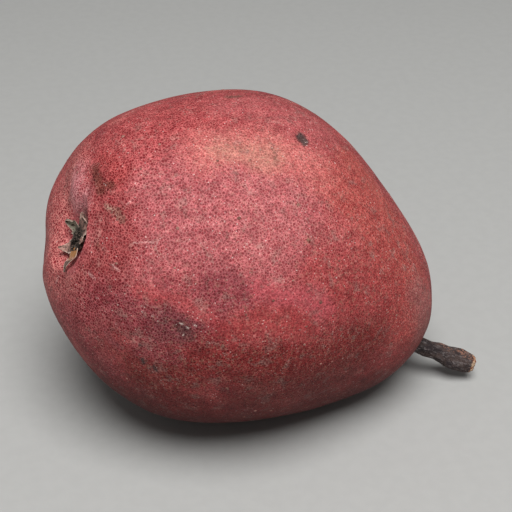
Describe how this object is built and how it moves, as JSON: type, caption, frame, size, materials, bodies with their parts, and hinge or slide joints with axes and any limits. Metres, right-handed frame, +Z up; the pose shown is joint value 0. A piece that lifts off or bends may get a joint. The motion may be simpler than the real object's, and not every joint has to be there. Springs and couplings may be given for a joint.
{
  "type": "pear",
  "caption": "Whole red pear lying on its side, with a stout broken stem and a dried calyx in its basin.",
  "frame": {"origin": "centre of the bounding box's underside, on the surface that the pear rests on", "axes": "+X along the pear's length towards the stem, +Z up, the fruit's core lying in a plane parallel to XZ"},
  "size_m": [0.1016, 0.0788, 0.0756],
  "materials": {
    "skin": "red pear skin, finely dotted, soft waxy sheen",
    "bark": "dark grey-brown bark, rough, pale at the broken end",
    "dry_calyx": "dry, papery, brown with paler edges"
  },
  "bodies": {
    "root": {"fruit": "skin", "stem": "bark", "calyx": "dry_calyx"}
  },
  "joints": []
}
